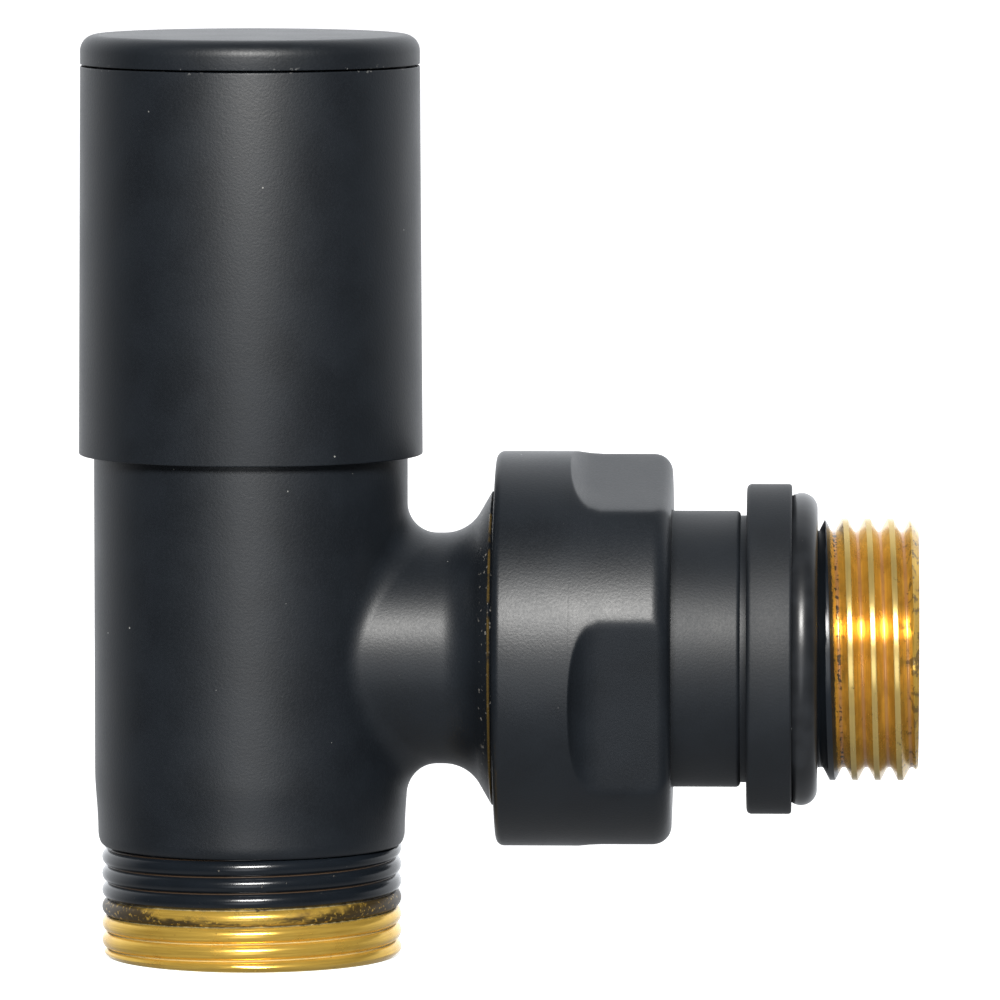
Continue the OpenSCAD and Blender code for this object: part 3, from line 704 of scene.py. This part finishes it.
class ValveUnionSizes(PropertyGroup):
    """Sizes of the nut, tail and rings."""
    near_rim: length("Near rim", "Rounding of the nut's edge by the body", 0.65)
    far_rim: length("Far rim", "Rounding of the nut's outer edge", 1.6)
    flat_rim: length("Flat rim", "Rounding where the flats meet the nut's outer face", 1.1)
    flat_l: length("Flat length", "Length of the flats with their run-out", 8.0)
    flat_half: length("Flat distance", "Distance from the axis to a flat", 14.0975)
    runout_r: length("Run-out radius", "Radius of the hollow run-out of the flats", 2.6)
    crease: length("Flat crease", "Softness of the flats' edges under the coat", 0.09)
    flat_turn: FloatProperty(name="Flat turn", description="Angle of the first flat below the near side",
                             default=math.radians(14), unit="ROTATION")
    tail_thread_pitch: length("Radiator thread pitch", "Between crests, 14 turns to the inch", 1.814)
    tail_thread_r: length("Radiator thread radius", "Half the diameter over its crests", 10.4775)
    tail_wear: length("Radiator thread wear", "How much of its rounded crests is worn flat", 0.12)
    tail_crest_x: length("Radiator thread crest", "Where a crest stands at the far side", 47.05)
    tail_coat_x: length("Tail coat edge", "Where the coat ends, along the radiator thread's helix", 45.75)


class ValveLooks(PropertyGroup):
    """Colours and surface of the finishes, and the studio."""
    coat_color: colour("Coat", "Base colour of the matt black coat", (0.0078, 0.0104, 0.0142))
    brass_color: colour("Brass", "Base colour of the bare brass", (0.86, 0.55, 0.1))
    brass_metal: fraction("Brass cleanness", "1 is bright metal and less is duller with tarnish", 0.62)
    rubber_color: colour("Rubber", "Base colour of the rubber rings", (0.014, 0.0155, 0.018))
    floor_color: colour("Floor", "Colour of the floor", (0.9, 0.9, 0.9))
    coat_roughness: fraction("Coat roughness", "0 is mirror-like and 1 is dead matt", 0.445)
    grain_depth: length("Grain depth", "Depth of the coat's fine grain", 0.012)
    key_power: FloatProperty(name="Key light", description="Power of the soft light beside the camera",
                             default=70.0, min=0, unit="POWER")
    floor_glow: brightness("Floor glow", "Light the floor gives off by itself", 0.75)
    back_light: brightness("Back light", "Brightness of the studio behind the object", 1.55)
    front_light: brightness("Front light", "Brightness of the studio beside the camera", 0.04)
    bounce_light: brightness("Bounce light", "Brightness of the key light's reflection in the table", 2.1)
    table_light: brightness("Table light", "Brightness of the table below", 0.24)


# Operators ------------------------------------------------------------------

def fallen(past, rim):
    """How far an edge rounded by the radius rim has fallen, that far past its start."""
    return rim - np.sqrt(rim ** 2 - np.clip(past, 0, rim) ** 2)


def made_once(name, make, *given):
    """The finish of that name, made by make(name, *given) the first time it is asked for."""
    return bpy.data.materials.get(name) or make(name, *given)


class VALVE_OT_body(Operator):
    """Build the valve body: pipe thread, barrel, branch with its rolled fillet and flange,
    union thread and the bores inside"""
    bl_idname = "valve.body"
    bl_label = "Body"

    def execute(self, context):
        s = context.scene.valve_body_sizes
        pitch, thread_l, top = s.pipe_thread_pitch / MM, s.pipe_thread_l / MM, BODY_HIGH[2]
        root = PIPE_CREST_R - LOBE_DEPTH * pitch
        shoulder, shoulder_w, slim = s.shoulder_h / MM, s.shoulder_w / MM, s.foot_slim / MM
        half = (WINDOW_CELLS + 1) * WINDOW_CELL_Z / 2
        low, high = BRANCH_Z - half, BRANCH_Z + half

        def tapered(points):
            """Slims the barrel's foot, fading out towards the branch and over 5 mm of height."""
            r = np.hypot(points[..., 0], points[..., 1])
            less = slim * (1 - smooth((points[..., 2] - thread_l - shoulder) / 5))
            less = less * np.clip((BARREL_R + 3 - r) / 3, 0, 1)
            points[..., :2] *= (1 - less / r)[..., None]
            return points

        pipe_thread = screw(around_z, PIPE_CREST_R, pitch, s.pipe_crest_z / MM, 0, thread_l,
                            lambda z: np.minimum(root + z, root + 2.5 * (thread_l - z)), BARREL_TURN,
                            form=lobe_form, rows=LOBE_ROWS)
        shoulder_at = [BARREL_R - shoulder_w, thread_l + shoulder]
        foot = np.vstack([[[root + slim, thread_l]],
                          arc(0, 0, 1, -90, 0) * [shoulder_w, shoulder] + shoulder_at,
                          [[BARREL_R, (low + thread_l + shoulder) / 2], [BARREL_R, low]]])
        rows = np.linspace(low, high, WINDOW_CELLS + 1)
        rest = np.linspace(WINDOW_HALF_TURN, TURN - WINDOW_HALF_TURN, BARREL_COLUMNS - WINDOW_CELLS + 1)
        patch, rolled = junction(BARREL_R, s.branch_r / MM, s.fillet / MM, low, high, 7)
        neck_r, waist, flare = s.branch_r / MM, s.branch_x / MM, s.flare_r / MM
        share = np.linspace(0, 1, 5)[:, None]
        neck = around_x(neck_r, rolled[-1, :, 0] * (1 - share) + waist * share, BRANCH_TURN)
        union_r, union_end, flange = BODY_HIGH[1], BODY_HIGH[0], s.flange_x / MM
        thread_x, union_root = flange + 1.05, union_r - THREAD_DEPTH * UNION_PITCH
        flange_line = np.vstack([
            arc(neck_r + flare, waist, flare, 180, 120, 14),
            eased([[neck_r + flare / 2 + 0.02, waist + flare * 0.8661], [union_r, flange],
                   [union_r - 0.5, flange + 0.5], [union_root, flange + 0.75],
                   [union_root, thread_x]], 0.07)[1:]])
        union_thread = screw(
            around_x, union_r, UNION_PITCH, flange + 1.2, thread_x, union_end,
            lambda x: np.minimum(union_root + (x - thread_x), union_root + (union_end - x)), BRANCH_TURN)
        bore = 6.5
        mouth = eased([[union_root, union_end], [NOSE_BORE_R + 0.3, union_end],
                       [NOSE_BORE_R, union_end - 0.3], [NOSE_BORE_R, NOSE_END_X],
                       [bore, NOSE_END_X]], 0.05)
        chamber, chamber_z, chamber_top = 9.2, 16.45, 31.65
        inner_low, inner_high = BRANCH_Z - bore - 0.25, BRANCH_Z + bore + 0.25
        inner_patch, _ = junction(chamber, bore, 0, inner_low, inner_high, 5)
        inner_rows = np.linspace(inner_low, inner_high, WINDOW_CELLS + 1)
        share = np.linspace(0, 1, 4)[:, None, None]
        bore_end = around_x(bore, NOSE_END_X, BRANCH_TURN)
        bore_tube = bore_end[None] * (1 - share) + inner_patch[-1][None] * share
        recess, insert = 10.4, 9.5
        upper = eased([[BARREL_R, high], [BARREL_R, top - 0.4], [BARREL_R - 0.4, top], [recess, top],
                       [recess, top - 1], [insert, top - 1], [insert, chamber_top],
                       [chamber, chamber_top], [chamber, inner_high]], 0.06)
        seat, seat_foot, seat_lip, seat_z = 6, 7.6, 7.2, 17.85
        pipe, pipe_stop, cone, cone_l = 8.144, 12.65, 9.587, 2.5
        lower = eased([[chamber, inner_low], [chamber, chamber_z], [seat_foot, chamber_z],
                       [seat_lip, seat_z], [seat, seat_z], [seat, pipe_stop], [pipe, pipe_stop],
                       [pipe, cone_l], [cone, 0], [root, 0]], 0.06)
        outer_rows = 9
        piece("body_shell", [
            (pipe_thread, 0), (tapered(turned(foot, around_z, BARREL_TURN)), 0),
            (tapered(around_z(BARREL_R, rows[:, None], rest[None, :])), 0), (tapered(patch), 0),
            (tapered(rolled), 0), (tapered(neck), 0),
            (turned(flange_line, around_x, BRANCH_TURN), 0), (union_thread, 1),
            (turned(mouth, around_x, BRANCH_TURN), 1), (bore_tube, 1), (inner_patch, 1),
            (around_z(chamber, inner_rows[:, None], rest[None, :]), 1),
            (turned(upper[:outer_rows], around_z, BARREL_TURN), 0),
            (turned(upper[outer_rows - 1:], around_z, BARREL_TURN), 1),
            (turned(lower, around_z, BARREL_TURN), 1)],
            "body", ["valve_body"], body_finish(context.scene.valve_looks, s))
        return {"FINISHED"}


class VALVE_OT_handle(Operator):
    """Build the handle's sleeve and its top disc, with the fine seam between them"""
    bl_idname = "valve.handle"
    bl_label = "Handle"

    def execute(self, context):
        s = context.scene.valve_handle_sizes
        looks = context.scene.valve_looks
        rim_r, rim_z, top_z = SLEEVE_HIGH[0], SLEEVE_LOW[2], SLEEVE_HIGH[2]
        cap_r, cap_top = CAP_HIGH[0], CAP_HIGH[2]
        skirt, collar = 12.85, 11.65
        core_top = CAP_LOW[2]
        seam_z = core_top + 2.25

        def chipped(finish):
            """Light flecks where the coat has chipped along the seam."""
            z = finish.split(finish.place)[2]
            seam = (z - (top_z + seam_z) / 2).math("ABSOLUTE").step(0.34, 0.12)
            return finish.noise(2.6, 2.0).step(0.65, 0.7) * seam * 0.4, CHIPPED

        material = plain_coat("handle_coat", looks, edge=chipped)
        sleeve = eased([[skirt, rim_z], [rim_r, rim_z], [(rim_r + cap_r) / 2, (rim_z + top_z) / 2],
                        [cap_r, top_z], [collar, top_z], [collar, core_top + 0.03],
                        [skirt, core_top + 0.03]],
                       s.rim_ease / MM, closed=True)
        piece("handle_shell", [(turned(sleeve, around_z, BARREL_TURN), 0)],
              "handle_unit", ["handle_sleeve"], material)
        edge, plug = s.cap_edge / MM, collar - 0.03
        cap = np.vstack([
            [[0, seam_z]],
            eased([[0, seam_z], [plug - 1.2, seam_z], [plug - 1.2, core_top], [plug, core_top],
                   [plug, seam_z], [cap_r, seam_z], [cap_r, cap_top - edge]], 0.07)[1:],
            arc(cap_r - edge, cap_top - edge, edge, 0, 90, 12)[1:], [[6, cap_top], [0, cap_top]]])
        piece("handle_disc", [(turned(cap, around_z, BARREL_TURN), 0)],
              "handle_unit", ["handle_cap"], material)
        return {"FINISHED"}


class VALVE_OT_nut(Operator):
    """Build the union nut: a round nut with four flats that run out in hollow curves"""
    bl_idname = "valve.nut"
    bl_label = "Union nut"

    def execute(self, context):
        s = context.scene.valve_union_sizes
        x0, x1 = NUT_LOW[0], NUT_HIGH[0]
        round_r = NUT_HIGH[1]
        near, far, flat_rim = s.near_rim / MM, s.far_rim / MM, s.flat_rim / MM
        flat_h, hollow = s.flat_half / MM, s.runout_r / MM
        depth = round_r - flat_h
        flat_x = x1 - s.flat_l / MM
        hollow_l = math.sqrt(hollow ** 2 - (hollow - depth) ** 2)
        # Rows along the nut: near rim, plain round, run-out by depth, flat, far rim
        drop = depth * np.linspace(0, 1, 19)[1:] ** 2
        into = flat_x + hollow_l - hollow * np.sin(np.arccos(1 - (depth - drop) / hollow))
        a = np.linspace(0, TURN / 4, 9)
        b = np.linspace(0, TURN / 4, 15)[1:]
        along = np.concatenate([
            x0 + near * (1 - np.cos(a)), np.linspace(x0 + near, flat_x - 0.16, 4)[1:],
            flat_x - np.array([0.11, 0.08, 0.055, 0.035, 0.015]), into,
            np.linspace(flat_x + hollow_l, x1 - far, 5)[1:], x1 - far + far * np.sin(b)])
        profile = (round_r - fallen(x0 + near - along, near)) - fallen(along - x1 + far, far)
        sink = np.clip(hollow_l + flat_x - along, 0, 0.98 * hollow)
        height = flat_h + hollow - np.sqrt(hollow ** 2 - sink ** 2)
        height = height - fallen(along - x1 + flat_rim, flat_rim)
        offset, radius = flat_outline(profile, height, s.crease / MM)
        quarter = TURN / 4
        first = quarter * 2 + s.flat_turn
        columns = np.concatenate([offset[:, :-1] + first + quarter * i for i in range(4)]
                                 + [offset[:, :1] + first + quarter * 4], 1)
        radii = np.concatenate([radius[:, :-1]] * 4 + [radius[:, :1]], 1)
        shell = around_x(radii, along[:, None], columns)
        bore, lip, step_x = 12.6475, 11.1475, 30.038
        angle = columns[0]
        first_crest, thread_end = 20.538, BODY_HIGH[0] - 0.1
        thread = screw(
            around_x, bore, UNION_PITCH, first_crest, x0, thread_end,
            lambda x: np.maximum(bore + 0.6 - (x - x0), bore - (thread_end - x)), angle, outside=False)
        inside = eased([[bore, thread_end], [bore, step_x], [lip, step_x], [lip, x1]], 0.06)
        near_face = np.stack([thread[0], shell[0]])
        turned_inside = turned(inside, around_x, angle)
        share = np.linspace(0, 1, 4)[:, None, None]
        lip_ring = turned_inside[-1]
        far_face = lip_ring[None] * (1 - share) + shell[-1][None] * share
        piece("nut_shell", [(shell, 0), (near_face, 0), (thread, 1), (turned_inside, 1), (far_face, 0)],
              "nut", ["union_nut"],
              made_once("nut_coat", plain_coat, context.scene.valve_looks, 0.415), crease=34)
        return {"FINISHED"}


class VALVE_OT_tail(Operator):
    """Build the tail: nose with its groove, collar, neck, shoulder, radiator thread and the
    bore with its hexagon for a key"""
    bl_idname = "valve.tail"
    bl_label = "Tail"

    def execute(self, context):
        s = context.scene.valve_union_sizes
        start, end = TAIL_LOW[0], TAIL_HIGH[0]
        crest, pitch, worn = s.tail_thread_r / MM, s.tail_thread_pitch / MM, s.tail_wear / MM
        root = crest + worn - THREAD_DEPTH * pitch
        collar_r, nose, groove = TAIL_HIGH[1], 9.528, 8.078
        neck, shoulder_x, plain = 11.0475, 39.188, 10.6775
        relief, relief_x, thread_x, bore, key_l = 9.8475, 42.538, 45.438, 6.0, 9.5
        groove_x, groove_end, collar_x, neck_x = 24.288, 25.888, 27.538, 29.988
        chamfer, soft, key_mouth = 0.6, 0.35, 7.2
        outside = np.vstack([
            eased([[key_mouth, start], [nose - chamfer, start], [nose, start + chamfer],
                   [nose, groove_x], [groove, groove_x], [groove, groove_end], [nose, groove_end],
                   [nose, collar_x], [collar_r, collar_x], [collar_r, neck_x], [neck, neck_x],
                   [neck, shoulder_x - soft]], 0.05),
            arc(neck - soft, shoulder_x - soft, soft, 0, 90, 5)[1:],
            eased([[neck - soft - 0.01, shoulder_x], [plain, shoulder_x], [plain, relief_x],
                   [relief, relief_x], [relief, thread_x - 0.4], [root, thread_x]], 0.04)[1:]])
        thread = screw(
            around_x, crest + worn, pitch, s.tail_crest_x / MM, thread_x, end,
            lambda x: np.minimum(crest, root + np.minimum((x - thread_x) * 2, (end - x) * 1.3)), TAIL_TURN)
        off = (TAIL_TURN + TURN / 12) % (TURN / 6) - TURN / 12
        hexagon = (bore + 0.01) / np.cos(off)
        key = around_x(hexagon[None, :], np.linspace(start, start + key_l, 3)[:, None], TAIL_TURN[None, :])
        nose_face = np.stack([turned(outside[:1], around_x, TAIL_TURN)[0], key[0]])
        step = np.stack([key[-1], around_x(bore, start + key_l, TAIL_TURN)])
        tube = eased([[bore, start + key_l], [bore, end - 0.5], [bore + 0.5, end], [root, end]], 0.05)
        piece("tail_shell", [(turned(outside, around_x, TAIL_TURN), 0), (thread, 0), (nose_face, 1),
                             (key, 1), (step, 1), (turned(tube, around_x, TAIL_TURN), 1)],
              "tail", ["tailpiece"], tail_finish(context.scene.valve_looks, s))
        return {"FINISHED"}


class VALVE_OT_rings(Operator):
    """Build the loose backing ring and the rubber rings on the tail"""
    bl_idname = "valve.rings"
    bl_label = "Rings"

    def execute(self, context):
        x0, x1, outer = RING_LOW[0], RING_HIGH[0], RING_HIGH[1]
        bore, pocket = 10.7775, 12.4375
        near, far, pocket_l = 0.4, 0.25, 0.6
        outline = np.vstack([
            [[bore, x0]], arc(outer - near, x0 + near, near, -90, 0, 5),
            arc(outer - far, x1 - far, far, 0, 90, 5),
            [[pocket, x1], [pocket, x1 - pocket_l], [bore, x1 - pocket_l]]])
        outline = eased(outline, 0.06, closed=True)
        piece("ring_shell", [(turned(outline, around_x, TAIL_TURN), 0)], "ring", ["backing_ring"],
              made_once("ring_coat", plain_coat, context.scene.valve_looks, 0.57))
        for name, (low, high), node in (("face_seal", (SEAL_LOW, SEAL_HIGH), "radiator_seal"),
                                        ("nose_seal", (NOSE_SEAL_LOW, NOSE_SEAL_HIGH), "tail_seal")):
            minor = (high[0] - low[0]) / 2
            outline = arc(high[1] - minor, (low[0] + high[0]) / 2, minor, 0, 360, 40)
            piece(name, [(turned(outline, around_x, TAIL_TURN), 0)], "tail", [node],
                  made_once("black_rubber", rubber_finish, context.scene.valve_looks))
        return {"FINISHED"}


class VALVE_OT_inner(Operator):
    """Give the inner pieces their finishes: turned brass, rubber, fibre, nylon and zinc plate"""
    bl_idname = "valve.inner"
    bl_label = "Inner pieces"

    def execute(self, context):
        looks = context.scene.valve_looks
        rubber = made_once("black_rubber", rubber_finish, looks)
        finishes = {
            turned_brass(looks): ["headwork", "gland_nut", "spindle", "shutter", "shutter_screw"],
            rubber: ["gland_seal", "spindle_seal", "shutter_gasket"],
            fibre_finish(): ["headwork_gasket"],
            nylon_finish(): ["handle_core"],
            zinc_finish(): ["gland_washer", "shutter_clip", "handle_washer", "handle_screw"],
        }
        for material, nodes in finishes.items():
            for node in nodes:
                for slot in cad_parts[node].material_slots:
                    slot.material = material
        return {"FINISHED"}


# Metres, degrees and, for the camera, millimetres of lens and sensor
FLOOR_SIDE = 6.0
MIDDLE = np.array([0.02, 0, 0.036])
CAMERA_AT = (0.04526, -0.79703, 0.10537)
CAMERA_DOWN, CAMERA_LEFT = 4.926, 1.820
CAMERA_SENSOR, CAMERA_LENS = 36, 360.41


class VALVE_OT_stage(Operator):
    """Set the pale floor, the soft lights and the camera"""
    bl_idname = "valve.stage"
    bl_label = "Stage"

    def execute(self, context):
        looks = context.scene.valve_looks
        floor = bpy.data.meshes.new("floor")
        corners = [(-1, -1), (1, -1), (1, 1), (-1, 1)]
        floor.from_pydata([(x * FLOOR_SIDE, y * FLOOR_SIDE, 0) for x, y in corners], [], [(0, 1, 2, 3)])
        made = bpy.data.objects.new("floor", floor)
        context.scene.collection.objects.link(made)
        finish = Finish("paper")
        fibres = finish.noise(0.05, 2.0)
        tone = finish.mix(fibres, tuple(looks.floor_color), times(looks.floor_color, 1.02))
        finish.done(tone, 0.9, fixed={"Specular IOR Level": 0.0, "Emission Color": (1, 1, 1, 1),
                                      "Emission Strength": looks.floor_glow})
        floor.materials.append(finish.material)
        made.visible_diffuse = made.visible_glossy = made.visible_shadow = False

        world = bpy.data.worlds.new("studio")
        world.use_nodes = True
        context.scene.world = world
        tree = world.node_tree
        tree.nodes.clear()
        sky = Nodes(tree)
        x, y, z = sky.split(sky.node("ShaderNodeTexCoord", out="Generated"))
        # Bright behind the object, less so low down, dark beside the camera, dim white from the
        # table below and a patch of it brightened by the key light
        behind = y.math("MAXIMUM", 0.0) + y.step(0.9, 1.0) * 0.2
        glow = behind * (z.step(-0.75, 0.1) * 0.94 + 0.06) * looks.back_light
        bounce = ((x + 0.02) * (x + 0.02) + (z + 0.2) * (z + 0.2)) ** 0.5
        glow = glow + bounce.step(0.34, 0.1) * y.step(0.0, -0.3) * looks.bounce_light
        glow = glow + z.step(-0.3, -0.8) * looks.table_light + looks.front_light
        seen = sky.node("ShaderNodeLightPath", out="Is Camera Ray")
        back = sky.node("ShaderNodeBackground", sockets={
            "Color": (0.97, 1.0, 1.04, 1), "Strength": sky.blend(seen, glow, sky.number(1.0))})
        sky.node("ShaderNodeOutputWorld", sockets={"Surface": back})

        def lamp(name, azimuth, elevation, distance, wide, tall, power, tint=(1, 1, 1)):
            """A soft rectangular lamp that far from the object's middle, with its azimuth in
            degrees to the right of the near side."""
            turn, rise = math.radians(azimuth), math.radians(elevation)
            away = np.array([math.sin(turn) * math.cos(rise), -math.cos(turn) * math.cos(rise),
                             math.sin(rise)])
            data = bpy.data.lights.new(name, "AREA")
            data.shape, data.size, data.size_y = "RECTANGLE", wide, tall
            data.energy, data.color = power, tint
            made = bpy.data.objects.new(name, data)
            made.location = MIDDLE + away * distance
            made.rotation_euler = Vector(-away).to_track_quat("-Z", "Y").to_euler()
            context.scene.collection.objects.link(made)

        lamp("key", 2.0, 26.0, 2.2, 0.75, 0.5, looks.key_power, (1, 0.985, 0.955))

        data = bpy.data.cameras.new("camera")
        data.sensor_width, data.lens = CAMERA_SENSOR, CAMERA_LENS
        data.clip_start, data.clip_end = 0.05, 50
        camera = bpy.data.objects.new("camera", data)
        camera.location = CAMERA_AT
        camera.rotation_euler = (math.radians(90 - CAMERA_DOWN), 0, math.radians(CAMERA_LEFT))
        context.scene.collection.objects.link(camera)
        context.scene.camera = camera
        context.scene.view_settings.view_transform = "Standard"
        return {"FINISHED"}


class VALVE_PT_panel(Panel):
    """Lists the pieces and their sizes"""
    bl_idname = "VALVE_PT_panel"
    bl_label = "Angled radiator valve"
    bl_space_type = "VIEW_3D"
    bl_region_type = "UI"
    bl_category = "Valve"

    def draw(self, context):
        for group, scene_name in GROUPS.items():
            for name in group.__annotations__:
                self.layout.prop(getattr(context.scene, scene_name), name)
        for operator in OPERATORS:
            self.layout.operator(operator.bl_idname)


GROUPS = {
    ValveBodySizes: "valve_body_sizes",
    ValveHandleSizes: "valve_handle_sizes",
    ValveUnionSizes: "valve_union_sizes",
    ValveLooks: "valve_looks",
}
OPERATORS = (VALVE_OT_stage, VALVE_OT_body, VALVE_OT_handle, VALVE_OT_nut, VALVE_OT_tail,
             VALVE_OT_rings, VALVE_OT_inner)


def register():
    for group, name in GROUPS.items():
        bpy.utils.register_class(group)
        setattr(bpy.types.Scene, name, PointerProperty(type=group))
    for item in (*OPERATORS, VALVE_PT_panel):
        bpy.utils.register_class(item)


def unregister():
    for item in reversed((*OPERATORS, VALVE_PT_panel)):
        bpy.utils.unregister_class(item)
    for group, name in reversed(GROUPS.items()):
        delattr(bpy.types.Scene, name)
        bpy.utils.unregister_class(group)


def main():
    register()
    for operator in OPERATORS:
        getattr(bpy.ops.valve, operator.bl_idname.split(".")[1])()


if __name__ == "__main__":
    main()
